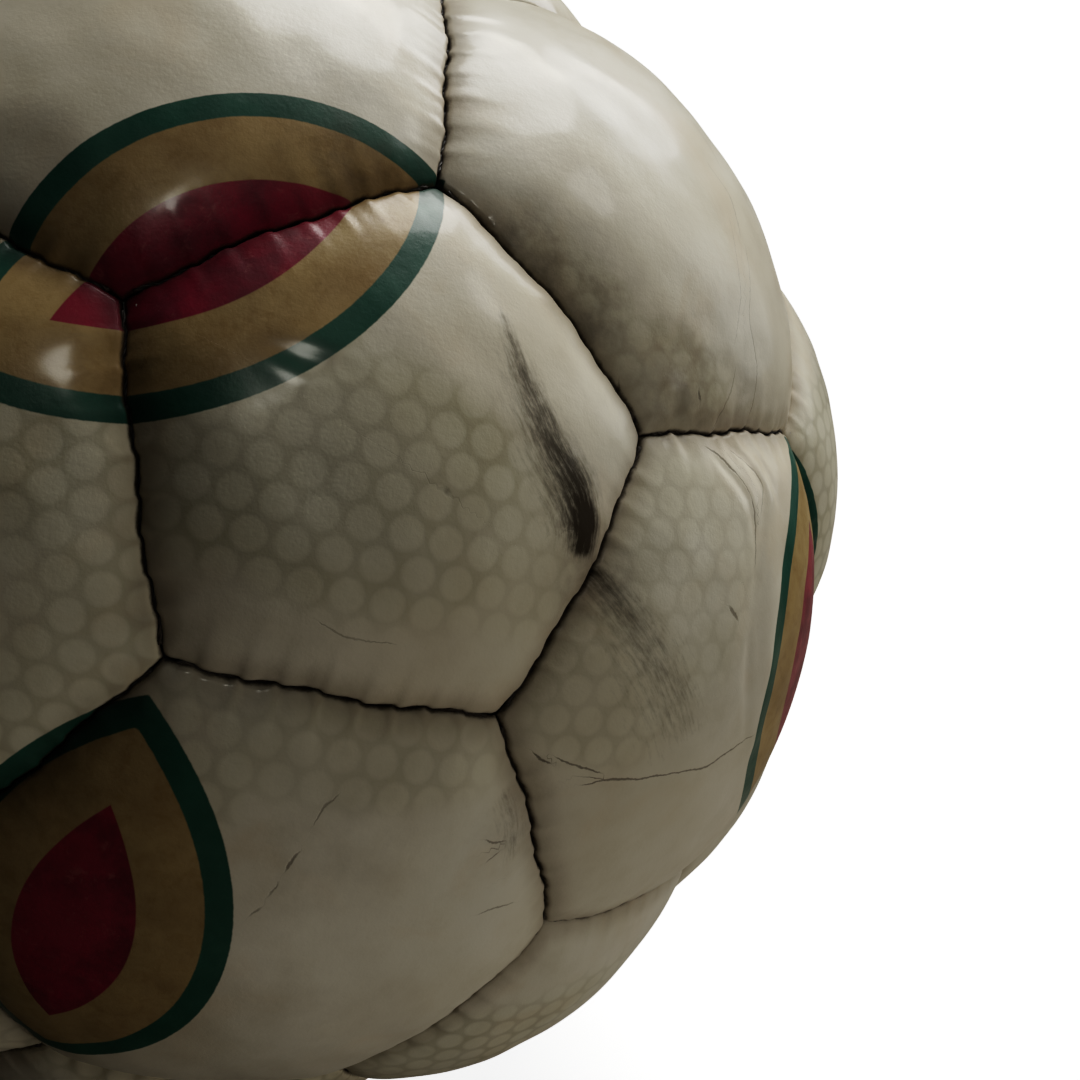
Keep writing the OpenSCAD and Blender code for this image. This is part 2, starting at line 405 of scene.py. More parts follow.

# Soft brown patches on each panel, dirt smudges mixed with painted shade beside some seams: middle, radius,
# strength
SMUDGES_AND_SHADE = {
    # upper right: painted shade and dirt along the seam to the front panel, painted shade above the seam to
    # the middle-right panel
    UPPER_RIGHT: [((-38, -11), 7, 0.85), ((-35, -16), 8, 0.85), ((-31, -22), 9, 0.9), ((-28, -28), 7, 0.6),
                  ((-14, -33), 12, 0.75), ((0, -35), 9, 0.55), ((0, -37), 7, 0.3)],
    FRONT: [((28.5, -8.5), 5.5, 0.9), ((2, 35), 5, 0.25), ((-10, -28), 9, 0.25)],
    MIDDLE_RIGHT: [((-33, 19), 6.5, 0.7), ((-12, 2), 10, 0.25)],
    LOWER: [((29, 24), 7, 0.4), ((5, 22), 15, 0.22), ((8, -6), 14, 0.16)],
    # the patch at (37, -8) is painted shade
    UPPER_LEFT: [((30, 0), 7, 0.3), ((37, -8), 8, 0.8)],
}

# Zones printed with dots on each panel: middle, half width, half height, turn in degrees, strength
DOT_ZONES = {
    FRONT: [((-5, -5), 27, 17, -8, 1.0), ((-21, 0), 20, 20, 0, 1.0), ((17, -8), 13, 13, 0, 0.6)],
    UPPER_RIGHT: [((-33, -27), 30, 11, -52, 0.7), ((-24, -33), 22, 9, 0, 0.7)],
    MIDDLE_RIGHT: [((-20, 20), 19, 19, 15, 0.55), ((-30, 6), 16, 14, 0, 0.65)],
    LOWER: [((-2, 35), 30, 9, 0, 0.7), ((-17, 28), 9, 14, 0, 0.8)],
    UPPER_LEFT: [],
}

# Leaf-shaped decoration: half length, half width and the width of its dark outline
LEAF_LENGTH, LEAF_WIDTH, LEAF_LINE = 34.0, 19.0, 3.4
LEAF_COUNT = 13


def leaf_seats():
    """Middle and lengthwise direction of every printed leaf."""
    start = corner(1, 0)
    along = unit(np.cross(np.cross(start, corner(1, 5)), start))
    seats = [(unit(start + along * math.tan(33 / CROWN)), along),
             (lifted(MIDDLE_RIGHT.rows, 22, 5), MIDDLE_RIGHT.rows[1]),
             (lifted(LOWER.rows, -24, 1), LOWER.rows[1])]
    middles = [unit(s.start + unit(np.cross(s.normal, s.start)) * math.tan(s.length / 2 / CROWN))
               for s in SEAMS]
    blocked = [lifted(FRONT.rows, 3, -12), lifted(UPPER_RIGHT.rows, -6, 6), VALVE_PANEL.axis]
    while len(seats) < LEAF_COUNT:
        taken = np.array([c for c, _ in seats] + blocked)
        best = int(np.argmin([max(taken @ m) for m in middles]))
        seats.append((middles[best], SEAMS[best].tangent))
    return [(c, unit(a - (a @ c) * c)) for c, a in seats]


LEAVES = leaf_seats()


def leaf_field(v):
    """Place along and across the nearest leaf, and depth inside its outline, in mm."""
    bow = (LEAF_LENGTH ** 2 + LEAF_WIDTH ** 2) / (2 * LEAF_WIDTH)
    best = np.full((len(v), 3), -99.0)
    for middle, along in LEAVES:
        rows = np.array([along, np.cross(middle, along), middle])
        xy = flat(rows, v)
        depth = bow - np.hypot(xy[:, 0], np.abs(xy[:, 1]) + bow - LEAF_WIDTH)
        depth = np.where(v @ middle > 0.7, depth, -99)
        closer = depth > best[:, 2]
        best[closer, :2] = xy[closer]
        best[closer, 2] = depth[closer]
    return best


# ---- the shape of a panel

def crown_offset(panel):
    """How far the middle of a panel's own, smaller sphere lies out along its axis."""
    foot = CROWN - BULGE
    side = math.asin(panel.sides[0][2] @ panel.axis)
    return (CROWN ** 2 - foot ** 2) / (2 * (CROWN - foot * math.cos(side)))


def seam_terms(panel, v):
    """Distance from each side of a panel and place along it, in mm."""
    reach = np.stack([CROWN * np.arcsin(np.clip(v @ inward, -1, 1)) for _, _, inward in panel.sides], 1)
    along = np.stack([seam.along(v) for seam, _, _ in panel.sides], 1)
    return reach, along


def pulled(v, panel, reach, along, inset):
    """Directions v after the seams' sideways shift; inset is the half gap at each side."""
    near = np.exp(-(reach / 6) ** 2)
    normals = np.array([inward for _, _, inward in panel.sides])
    overlap = normals @ normals.T
    total = np.zeros_like(v)
    for q, (seam, side, inward) in enumerate(panel.sides):
        amount = side * seam.wander(along[:, q]) + inset[:, q]
        others = sum(overlap[q, o] * near[:, o] for o in range(len(normals)) if o != q)
        total += (amount * near[:, q] / (1 + others))[:, None] * inward
    return unit(v + total / CROWN)


def rim_gap(panel, along):
    """Half of the gap between the rims, wider where a stitch comes up."""
    gaps = np.full(along.shape, GAP_TOP)
    for q, (seam, _, _) in enumerate(panel.sides):
        for s in seam.stitches:
            gaps[:, q] += STITCH_GAP * np.exp(-((along[:, q] - s) / 0.7) ** 2)
    return gaps


def puckers(panel, reach, along):
    """Depth of the folds that run in from the stitches."""
    depth = np.zeros(len(reach))
    for q, (seam, side, _) in enumerate(panel.sides):
        rng = np.random.default_rng(int(seam.phase * 1e6) + (side > 0))
        for s in np.concatenate([seam.stitches, seam.stitches + rng.uniform(2, 3.6, STITCHES)]):
            strength, fade = rng.uniform(0.02, 0.16), rng.uniform(1.4, 4.5)
            width, lean = rng.uniform(0.8, 1.4), rng.uniform(-0.35, 0.35)
            d = np.maximum(reach[:, q], 0)
            across = (along[:, q] - s - lean * d) / (width + 0.16 * d)
            fold = np.exp(-across ** 2) - 0.35 * np.exp(-((np.abs(across) - 1.9) / 0.9) ** 2)
            depth += seam.pull[side] * strength * fold * np.exp(-d / fade)
    return depth


def skin_radius(panel, v, reach, along, fine=True):
    """Radius of a panel's outer face; fine adds the rim's roll, the puckers and the creases."""
    offset = crown_offset(panel)
    cosine = np.clip(v @ panel.axis, -1, 1)
    radius = offset * cosine + np.sqrt((CROWN - offset) ** 2 - offset ** 2 * (1 - cosine ** 2))
    soft = np.exp(-4 * np.maximum(reach, 0) / SHOULDER_REACH).sum(1) ** 0.25
    radius -= SHOULDER * soft
    if not fine:
        return radius
    nearest = reach.min(1)
    short = np.clip(ROLL - reach, 0, ROLL)
    turn = np.minimum(np.sqrt((short ** 2).sum(1)), ROLL)
    radius -= ROLL - np.sqrt(ROLL ** 2 - turn ** 2)
    radius -= puckers(panel, reach, along)
    point = v * CROWN
    inside = 1 - np.exp(-(np.maximum(nearest, 0) / 7) ** 2)
    radius += (0.24 * ripples(point, 30, 7) - 0.1) * inside
    radius += 0.055 * ripples(point, 9, 8) * inside
    xy = flat(panel.rows, v)
    for line in on(panel, CREASES):
        across, s, width, depth = line.measure(xy)
        a = across / width
        fold = np.exp(-a ** 2) - 0.45 * np.exp(-((np.abs(a) - 2) / 1.1) ** 2)
        radius -= depth * line.fade(s, 5) * fold
    return radius


@functools.cache
def sector_grid(sides, steps):
    """A fan of triangles: ring, side and share along the side of every point, faces, last ring."""
    spots = [(i, q, j / i) for i in range(1, steps + 1) for q in range(sides) for j in range(i)]

    def at(i, k):
        return 0 if i == 0 else 1 + sides * i * (i - 1) // 2 + k % (sides * i)

    faces = []
    for i in range(1, steps + 1):
        for q in range(sides):
            for j in range(i):
                inner, outer = q * (i - 1) + j, q * i + j
                faces.append((at(i - 1, inner), at(i, outer), at(i, outer + 1)))
                if j < i - 1:
                    faces.append((at(i - 1, inner), at(i, outer + 1), at(i - 1, inner + 1)))
    ring, side, share = (np.array(column) for column in zip((0, 0, 0.0), *spots))
    return ring, side, share, faces, [at(steps, k) for k in range(sides * steps)]


def ring_grid(count, rings):
    """Rings of quads, from the first ring out."""
    faces = []
    for i in range(rings):
        for k in range(count):
            n = (k + 1) % count
            faces.append((i * count + k, (i + 1) * count + k, (i + 1) * count + n, i * count + n))
    return faces


def spread(share_out):
    """Crowds the rings of a grid towards the rim."""
    return 1.25 * share_out - 0.25 * share_out ** 4


# What a point that can't be seen from outside has for its distance from the seam
HIDDEN = -5


class Shell:
    """Points and faces of one panel-shaped piece, built from its outer face inwards."""

    def __init__(self, panel, steps, hole=0.0):
        self.panel = panel
        self.steps = steps
        self.hole = hole
        self.points, self.faces, self.dirs, self.tags = [], [], [], []
        flat_corners = np.array([(panel.rows @ c)[:2] / (panel.axis @ c) for c in panel.corners])
        self.sides = len(flat_corners)
        q, j = np.divmod(np.arange(self.sides * steps), steps)
        f = (j / steps)[:, None]
        self.rim_plane = flat_corners[q] * (1 - f) + flat_corners[(q + 1) % self.sides] * f
        self.flat_corners = flat_corners
        if hole:
            self.hole_plane = self.rim_plane / np.linalg.norm(self.rim_plane, axis=1)[:, None] * hole / CROWN

    def spots(self, plane):
        return unit(self.panel.axis + plane @ self.panel.rows[:2])

    def add(self, v, radius, tag):
        first = sum(len(p) for p in self.points)
        self.points.append(v * np.broadcast_to(radius, len(v))[:, None])
        self.dirs.append(v)
        self.tags.append(np.broadcast_to(tag, len(v)).astype(float))
        return np.arange(first, first + len(v))

    def bridge(self, a, b):
        """Faces between two closed loops; b lies clockwise-inward of a."""
        n = len(a)
        for k in range(n):
            m = (k + 1) % n
            self.faces.append((a[k], b[k], b[m], a[m]))

    def face_grid(self, inset, radius_of, tag, rings=None, outward=True, shape=spread):
        """A whole face of the piece, out to the rim; returns its outer and its hole's loop."""
        count = self.sides * self.steps
        if self.hole or rings:
            rings = rings or self.steps
            shares = shape(np.linspace(0, 1, rings + 1))
            start = self.hole_plane if self.hole else np.zeros_like(self.rim_plane)
            keep = shares if self.hole else shares[1:]
            plane = np.concatenate([start * (1 - t) + self.rim_plane * t for t in keep])
            faces = ring_grid(count, len(keep) - 1)
            if not self.hole:
                plane = np.concatenate([plane, np.zeros((1, 2))])
                centre = len(plane) - 1
                faces += [(centre, k, (k + 1) % count) for k in range(count)]
            rim = np.arange((len(keep) - 1) * count, len(keep) * count)
            inner = np.arange(count) if self.hole else None
        else:
            ring, side, share, faces, rim = sector_grid(self.sides, self.steps)
            edge = self.flat_corners[side] * (1 - share)[:, None]
            edge += self.flat_corners[(side + 1) % self.sides] * share[:, None]
            plane = edge * shape(ring / self.steps)[:, None]
            inner = None
        v = self.spots(plane)
        reach, along = seam_terms(self.panel, v)
        gaps = rim_gap(self.panel, along) if inset is None else np.full(reach.shape, inset)
        moved = pulled(v, self.panel, reach, along, gaps)
        radius = radius_of(self.panel, v, reach, along)
        number = self.add(moved, radius, reach.min(1) if tag is None else tag)
        for face in faces:
            face = tuple(number[list(face)])
            self.faces.append(face if outward else face[::-1])
        return number[rim], None if inner is None else number[inner]

    def loop(self, inset, radius, tag):
        """One loop of points round the rim, at a half gap and a radius."""
        v = self.spots(self.rim_plane)
        reach, along = seam_terms(self.panel, v)
        moved = pulled(v, self.panel, reach, along, np.broadcast_to(inset, reach.shape))
        return self.add(moved, radius, tag)

    def arrays(self):
        return np.concatenate(self.points), np.concatenate(self.dirs), np.concatenate(self.tags)


def make_mesh(name, points, faces):
    mesh = bpy.data.meshes.new(name)
    mesh.from_pydata((np.asarray(points) * MM).tolist(), [], [tuple(int(i) for i in f) for f in faces])
    mesh.validate()
    mesh.polygons.foreach_set("use_smooth", np.ones(len(mesh.polygons), bool))
    mesh.update()
    return mesh


def place(name, mesh, material, slot, node):
    """Puts a piece on the ball in place of a CAD node."""
    piece = bpy.data.objects.new(name, mesh)
    bpy.context.scene.collection.objects.link(piece)
    mesh.materials.append(material)
    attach(piece, "ball")
    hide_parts(node)


def give(mesh, name, values):
    """Stores a value or a vector per point for the material to read."""
    values = np.asarray(values, np.float32)
    kind, key = ("FLOAT", "value") if values.ndim == 1 else ("FLOAT_VECTOR", "vector")
    mesh.attributes.new(name, kind, "POINT").data.foreach_set(key, values.ravel())


def printed_share(xy, zones):
    """How strongly the dots are printed at each point; a zone fades over its rim."""
    total = np.zeros(len(xy))
    for (x, y), wide, high, turn, strength in zones:
        c, s = math.cos(math.radians(turn)), math.sin(math.radians(turn))
        dx, dy = xy[:, 0] - x, xy[:, 1] - y
        r = np.hypot((dx * c + dy * s) / wide, (dy * c - dx * s) / high)
        total = np.maximum(total, strength * smooth((1.12 - r) / 0.4))
    return total


# How much the dirt smudges and the patches of painted shade darken each point
def smudge_and_shade_share(xy, patches):
    total = np.zeros(len(xy))
    for middle, radius, strength in patches:
        r = np.hypot(*(xy - np.array(middle)).T) / radius
        total = np.maximum(total, strength * np.exp(-r ** 2))
    return total


def scuffed(panel, xy):
    """Place along and across the nearest scuff, and its weight."""
    marks = np.zeros((len(xy), 3))
    for line in on(panel, SCUFFS):
        across, along, width, strength = line.measure(xy)
        reach = np.where(across > 0, 0.66, 1.25) * width
        weight = strength * line.fade(along, 3, 0.12) * np.exp(-(np.abs(across) / reach) ** 1.8)
        more = weight > marks[:, 2]
        marks[more] = np.stack([along, across, weight], 1)[more]
    return marks


def cracked(panel, xy):
    """Distance across the nearest crack, its width and how dark it is."""
    marks = np.tile([99.0, 0, 0], (len(xy), 1))
    for line in on(panel, CRACKS):
        across, along, width, strength = line.measure(xy)
        nearer = np.abs(across) < np.abs(marks[:, 0])
        dark = strength * line.fade(along, 0.8, 0.25)
        marks[nearer] = np.stack([across, width, dark], 1)[nearer]
    return marks


def paint(panel, mesh, dirs, seam_distance):
    """Stores everything the cover's material needs to know about each point."""
    xy = flat(panel.rows, dirs)
    point = dirs * CROWN
    if panel in DOT_ZONES:
        dots, grime_and_shade = printed_share(xy, DOT_ZONES[panel]), smudge_and_shade_share(xy, SMUDGES_AND_SHADE[panel])
    else:
        dots = smooth((ripples(point, 62, 21, 10) + 0.1) / 0.7)
        grime_and_shade = 0.75 * smooth((ripples(point, 42, 23) - 0.75) / 1.1)
    give(mesh, "flat", np.pad(xy, ((0, 0), (0, 1))))
    give(mesh, "seam", seam_distance)
    give(mesh, "leaf", leaf_field(dirs))
    give(mesh, "dots", dots * (0.85 + 0.15 * ripples(point, 20, 22)))
    # darkening from dirt smudges and from painted shade
    give(mesh, "grime_and_shade", grime_and_shade)
    give(mesh, "scuff", scuffed(panel, xy))
    give(mesh, "crack", cracked(panel, xy))


def skin_inside(panel, v, reach, along):
    """Radius of a panel's inner face."""
    return skin_radius(panel, v, reach, along, fine=False) - SKIN_INSIDE


def make_cover(panel, material):
    """A closed leather shell: outer face, turned-in rim, inner face, and the valve's hole if it has one."""
    hole = hole_in(panel)
    shell = Shell(panel, EDGE_STEPS, hole)
    last, inner = shell.face_grid(None, skin_radius, None)
    v = shell.spots(shell.rim_plane)
    reach, along = seam_terms(panel, v)
    gaps = rim_gap(panel, along)
    top = skin_radius(panel, v, reach, along)
    for share in (0.25, 0.6, 1.0):
        inset = gaps * (1 - share) + GAP_FOOT * share
        ring = shell.loop(inset, top * (1 - share) + RIM_FOOT * share, -0.5 - 2.5 * share)
        shell.bridge(last, ring)
        last = ring
    half_up = (RIM_FOOT + CROWN - 6) / 2        # the middle of the rim's inner face
    for radius in (RIM_FOOT, half_up):
        ring = shell.loop(RIM_INSET, radius, HIDDEN)
        shell.bridge(last, ring)
        last = ring
    under, under_hole = shell.face_grid(
        RIM_INSET, skin_inside, HIDDEN, rings=9, outward=False, shape=lambda t: t)
    shell.bridge(last, under)
    if hole:
        v = shell.spots(shell.hole_plane)
        radius = skin_radius(panel, v, *seam_terms(panel, v))
        for share in (0.3, 0.7):
            ring = shell.add(v, radius - SKIN_INSIDE * share, -0.4)
            shell.bridge(ring, inner)
            inner = ring
        shell.bridge(under_hole, inner)
    points, dirs, tags = shell.arrays()
    mesh = make_mesh(panel.node, points, shell.faces)
    paint(panel, mesh, dirs, tags)
    place(panel.node.replace("_panel_", "_cover_"), mesh, material, "cover_leather", panel.node)


# ---- the layers inside

def hole_in(panel):
    return VALVE_HOLE if panel is VALVE_PANEL else 0.0


def pad_top(panel, v, reach, along):
    """A crowned cushion with soft edges."""
    edge = np.clip(PAD_ROUND - reach.min(1), 0, PAD_ROUND) / PAD_ROUND
    lift = skin_radius(panel, v, reach, along, fine=False) - PAD_DROP
    return lift - 0.9 * (1 - np.sqrt(1 - edge ** 2)) + 0.05 * ripples(v * CROWN, 6, 31)


def pad_base(panel, v, reach, along):
    return np.full(len(v), LINING_TOP + 0.06)


def lining_top(panel, v, reach, along):
    return LINING_TOP - 0.05 + 0.04 * ripples(v * CROWN, 8, 32)


def lining_base(panel, v, reach, along):
    """The lining's inner face, with a pocket over the valve's patch."""
    base = np.full(len(v), LINING_FOOT + 0.05)
    if panel is VALVE_PANEL:
        base[CROWN * np.arccos(np.clip(v @ panel.axis, -1, 1)) < PATCH_REACH] = PATCH_TOP + 0.05
    return base


def make_layer(kind, node, name, material, slot, top, base):
    """A closed slab behind every panel of one kind, between two functions for the radius."""
    points, faces = [], []
    for panel in PANELS:
        if not panel.node.startswith(kind):
            continue
        shell = Shell(panel, PAD_STEPS, hole_in(panel))
        rim, hole = shell.face_grid(PAD_INSET, top, 0, rings=PAD_STEPS)
        under, under_hole = shell.face_grid(PAD_INSET, base, 0, rings=PAD_STEPS, outward=False)
        shell.bridge(rim, under)
        if hole is not None:
            shell.bridge(under_hole, hole)
        start = sum(len(p) for p in points)
        points.append(shell.arrays()[0])
        faces += [tuple(i + start for i in face) for face in shell.faces]
    place(name, make_mesh(node, np.concatenate(points), faces), material, slot, node)


def ply(seam, phase):
    """The middle line of one ply of a seam's thread, and which way is out at each of its points."""
    s = np.arange(THREAD_END, seam.length - THREAD_END, PLY_STEP)
    turn = 2 * math.pi * s / PLY_TURN + phase
    level = THREAD_RADIUS + THREAD_LIFT + STITCH_LIFT * seam.pinch(s) ** 3 + PLY_OFFSET * np.sin(turn)
    across = seam.wander(s) + PLY_OFFSET * np.cos(turn)
    out = np.outer(np.cos(s / CROWN), seam.start) + np.outer(np.sin(s / CROWN), seam.tangent)
    return (out + across[:, None] / CROWN * seam.normal) * level[:, None], out


def tube(centre, out, first):
    """Points and faces of a closed round cord; its first point gets the number first."""
    ahead = unit(np.gradient(centre, axis=0))
    side = unit(np.cross(ahead, out))
    up = np.cross(side, ahead)
    points, faces = [], []
    n = len(centre)
    for k in range(PLY_SIDES):
        a = 2 * math.pi * k / PLY_SIDES
        points.append(centre + PLY_RADIUS * (math.cos(a) * side + math.sin(a) * up))
        one, two = first + k * n, first + (k + 1) % PLY_SIDES * n
        faces += [(one + i, one + i + 1, two + i + 1, two + i) for i in range(n - 1)]
    starts = [first + k * n for k in range(PLY_SIDES)]
    faces.append(tuple(starts))
    faces.append(tuple(start + n - 1 for start in starts)[::-1])
    return np.concatenate(points), faces


def make_threads(kind, material):
    """The threads of the seams between two hexagons, or of all other seams."""
    beside_pentagon = {id(seam) for p in PANELS if p.node.startswith("pentagon") for seam, _, _ in p.sides}
    points, faces = [], []
    for seam in SEAMS:
        if (id(seam) in beside_pentagon) != (kind == "pentagon"):
            continue
        for phase in (0, math.pi):
            made, more = tube(*ply(seam, phase), sum(len(p) for p in points))
            points.append(made)
            faces += more
    node = f"{kind}_seam_threads"
    place(f"{kind}_seam_stitches", make_mesh(node, np.concatenate(points), faces), material,
          "waxed_thread", node)


# ---- materials

class Shader:
    """A node material, written as short calls."""

    def __init__(self, name):
        self.material = bpy.data.materials.new(name)
        self.material.use_nodes = True
        self.tree = self.material.node_tree
        self.tree.nodes.clear()

    def feed(self, socket, value):
        if isinstance(value, bpy.types.NodeSocket):
            self.tree.links.new(value, socket)
        elif isinstance(value, tuple) and socket.type == "RGBA":
            socket.default_value = (*value, 1)
        else:
            socket.default_value = value

    def node(self, kind, inputs=(), **settings):
        made = self.tree.nodes.new("ShaderNode" + kind)
        for key, value in settings.items():
            setattr(made, key, value)
        for key, value in dict(inputs).items():
            self.feed(made.inputs[key], value)
        return made

    def calc(self, operation, *values, clamp=False):
        return self.node("Math", enumerate(values), operation=operation, use_clamp=clamp).outputs[0]

    def plus(self, a, b, clamp=False):
        return self.calc("ADD", a, b, clamp=clamp)

    def minus(self, a, b, clamp=False):
        return self.calc("SUBTRACT", a, b, clamp=clamp)

    def times(self, a, b, clamp=False):
        return self.calc("MULTIPLY", a, b, clamp=clamp)

    def shaken(self, value, noise, amount):
        """A value moved up and down by a noise, which runs from 0 to 1."""
        return self.plus(value, self.times(self.minus(noise, 0.5), amount))

    def length_of(self, vector):
        return self.node("VectorMath", {0: vector}, operation="LENGTH").outputs["Value"]

    def mix(self, share, a, b, kind="MIX"):
        return self.node("Mix", {0: share, 6: a, 7: b}, data_type="RGBA", blend_type=kind).outputs[2]

    def stain(self, share, a, b):
        """Multiplies colour a by b."""
        return self.mix(share, a, b, "MULTIPLY")

    def step(self, value, low, high, to_low=0.0, to_high=1.0):
        """Runs smoothly from to_low at low to to_high at high."""
        inputs = {"Value": value, "From Min": low, "From Max": high, "To Min": to_low, "To Max": to_high}
        return self.node("MapRange", inputs, interpolation_type="SMOOTHSTEP").outputs[0]

    def noise(self, vector, scale, detail=3.0, rough=0.5, warp=0.0):
        inputs = {"Vector": vector, "Scale": scale, "Detail": detail, "Roughness": rough, "Distortion": warp}
        return self.node("TexNoise", inputs).outputs[0]

    def stored(self, name, output="Vector"):
        return self.node("Attribute", attribute_name=name).outputs[output]

    def parts(self, vector):
        return self.node("SeparateXYZ", {0: vector}).outputs[:3]

    def joined(self, x, y):
        return self.node("CombineXYZ", {0: x, 1: y}).outputs[0]

    def place_mm(self):
        """The point's place in millimetres."""
        place = self.node("TexCoord").outputs["Object"]
        return self.node("VectorMath", {0: place, "Scale": 1 / MM}, operation="SCALE").outputs[0]

    def bump(self, height, strength, distance_mm, under=None):
        inputs = {"Height": height, "Strength": strength, "Distance": distance_mm * MM}
        if under is not None:
            inputs["Normal"] = under
        return self.node("Bump", inputs).outputs[0]

    def finish(self, color, roughness, normal, **extra):
        inputs = {"Base Color": color, "Roughness": roughness, "Normal": normal}
        for key, value in extra.items():
            inputs[key.replace("_", " ").title().replace("Ior", "IOR")] = value
        shader = self.node("BsdfPrincipled", inputs)
        self.node("OutputMaterial", {0: shader.outputs[0]})
        return self.material


CREAM, CREAM_WARM = (0.62, 0.585, 0.485), (0.56, 0.515, 0.405)
SPOT, SPOT_GROUND, SPOT_RING = (0.93, 0.94, 0.885), (0.73, 0.725, 0.655), (0.62, 0.62, 0.55)
GOLD, GOLD_DARK, GOLD_HAZE = (0.36, 0.26, 0.118), (0.27, 0.185, 0.078), (0.80, 0.74, 0.62)
GREEN, GREEN_WORN = (0.011, 0.068, 0.044), (0.018, 0.085, 0.056)
CRIMSON, CRIMSON_DARK, CRIMSON_WORN = (0.24, 0.014, 0.036), (0.12, 0.008, 0.02), (0.36, 0.12, 0.11)
GRIME_AND_SHADE, SEAM_SIDE_BROWN, SOOT = (0.07, 0.052, 0.036), (0.33, 0.26, 0.19), (0.021, 0.013, 0.007)
CRACK, SEAM_GROOVE_DIRT_AND_SHADE, GAP_SHADE_AND_BACKING = (0.06, 0.042, 0.028), (0.04, 0.025, 0.014), (0.018, 0.012, 0.008)

DOT_PITCH = 5.0
DOT_SHIFT = (-6.8, 1.0)      # places the rows of dots on the front panel
DOT_SLANT = 0.035
CORE_LENGTH = 20.0           # half length of the crimson middle of a leaf
CORE_WIDTH = 7.5             # half of its width


def dot_print(m, where, color, blotch):
    """Round spots in rows on a darker ground; returns the colour and how much ground shows."""
    x, y, _ = m.parts(m.stored("flat"))
    half, row = DOT_PITCH / 2, DOT_PITCH * math.sqrt(3) / 2
    wobble = m.noise(where, 0.3, 1)
    shifted_x = m.plus(m.plus(x, DOT_SHIFT[0]), m.times(wobble, 0.25))
    shifted_y = m.plus(m.plus(y, DOT_SHIFT[1]), m.times(x, DOT_SLANT))

    def from_grid(dx, dy):
        a = m.calc("WRAP", m.plus(shifted_x, dx), half, -half)
        b = m.calc("WRAP", m.plus(shifted_y, dy), row, -row)
        return m.length_of(m.joined(a, b))

    from_spot = m.calc("MINIMUM", from_grid(0.0, 0.0), from_grid(half, row))
    ground = m.step(from_spot, 1.95, 2.4)
    ring = m.minus(m.step(from_spot, 1.6, 2.05), m.step(from_spot, 2.1, 2.5))
    dots = m.times(m.stored("dots", "Fac"), m.step(blotch, 0.2, 0.55, 0.7, 1.0), clamp=True)
    printed = m.mix(m.times(ring, 0.25), m.mix(ground, SPOT, SPOT_GROUND), SPOT_RING)
    return m.stain(dots, color, printed), m.times(ground, dots)


def leaf_print(m, where, color, blotch, fine):
    """Plain pointed ovals: a dark outline, gold inside, and a smaller crimson oval in the middle."""
    x, y, depth = m.parts(m.stored("leaf"))
    taper = m.minus(1.0, m.times(m.times(x, x), 1 / CORE_LENGTH ** 2))
    core = m.step(m.minus(m.times(taper, CORE_WIDTH), m.calc("ABSOLUTE", y)), -0.1, 0.15)

    gold = m.mix(m.step(m.noise(where, 0.09, 5, 0.65), 0.35, 0.68), GOLD, GOLD_DARK)
    gold = m.stain(m.step(m.noise(where, 0.42, 4, 0.6, 0.6), 0.45, 0.7, 0, 0.6), gold, GOLD_HAZE)
    red = m.mix(m.step(m.noise(where, 0.12, 5, 0.65), 0.35, 0.68), CRIMSON, CRIMSON_DARK)
    red = m.mix(m.step(m.noise(where, 0.5, 4, 0.65, 0.6), 0.58, 0.72, 0, 0.3), red, CRIMSON_WORN)
    green = m.mix(m.step(blotch, 0.4, 0.7), GREEN, GREEN_WORN)
    edge = m.shaken(depth, fine, 0.18)
    outline = m.minus(1.0, m.step(edge, LEAF_LINE - 0.12, LEAF_LINE + 0.12))
    ink = m.mix(outline, m.mix(core, gold, red), green)
    return m.mix(m.step(edge, -0.1, 0.12), color, ink)


def scuff_mask(m):
    """How black the rubbed-on marks are: streaks along the mark, torn by a finer noise."""
    along, across, strength = m.parts(m.stored("scuff"))
    lanes = m.minus(m.noise(m.joined(m.times(along, 0.14), m.times(across, 1.5)), 1.0, 4, 0.7), 0.5)
    torn = m.minus(m.noise(m.joined(m.times(along, 0.55), m.times(across, 1.3)), 1.0, 6, 0.75), 0.5)
    rubbed = m.plus(m.times(lanes, 2.2), m.times(torn, 1.8))
    rubbed = m.plus(rubbed, m.minus(m.times(strength, 2.2), 0.95))
    mask = m.times(m.step(rubbed, -0.4, 1.0), m.step(strength, 0.02, 0.25))
    return m.times(mask, m.step(strength, 0.35, 0.9, 0.46, 0.95))


def crack_mask(m, where):
    off, width, dark = m.parts(m.stored("crack"))
    shaky = m.calc("ABSOLUTE", m.shaken(off, m.noise(where, 0.5, 4, 0.7), 1.0))
    return m.times(m.step(m.calc("DIVIDE", shaky, m.calc("MAXIMUM", width, 0.05)), 1.5, 0.4), dark)


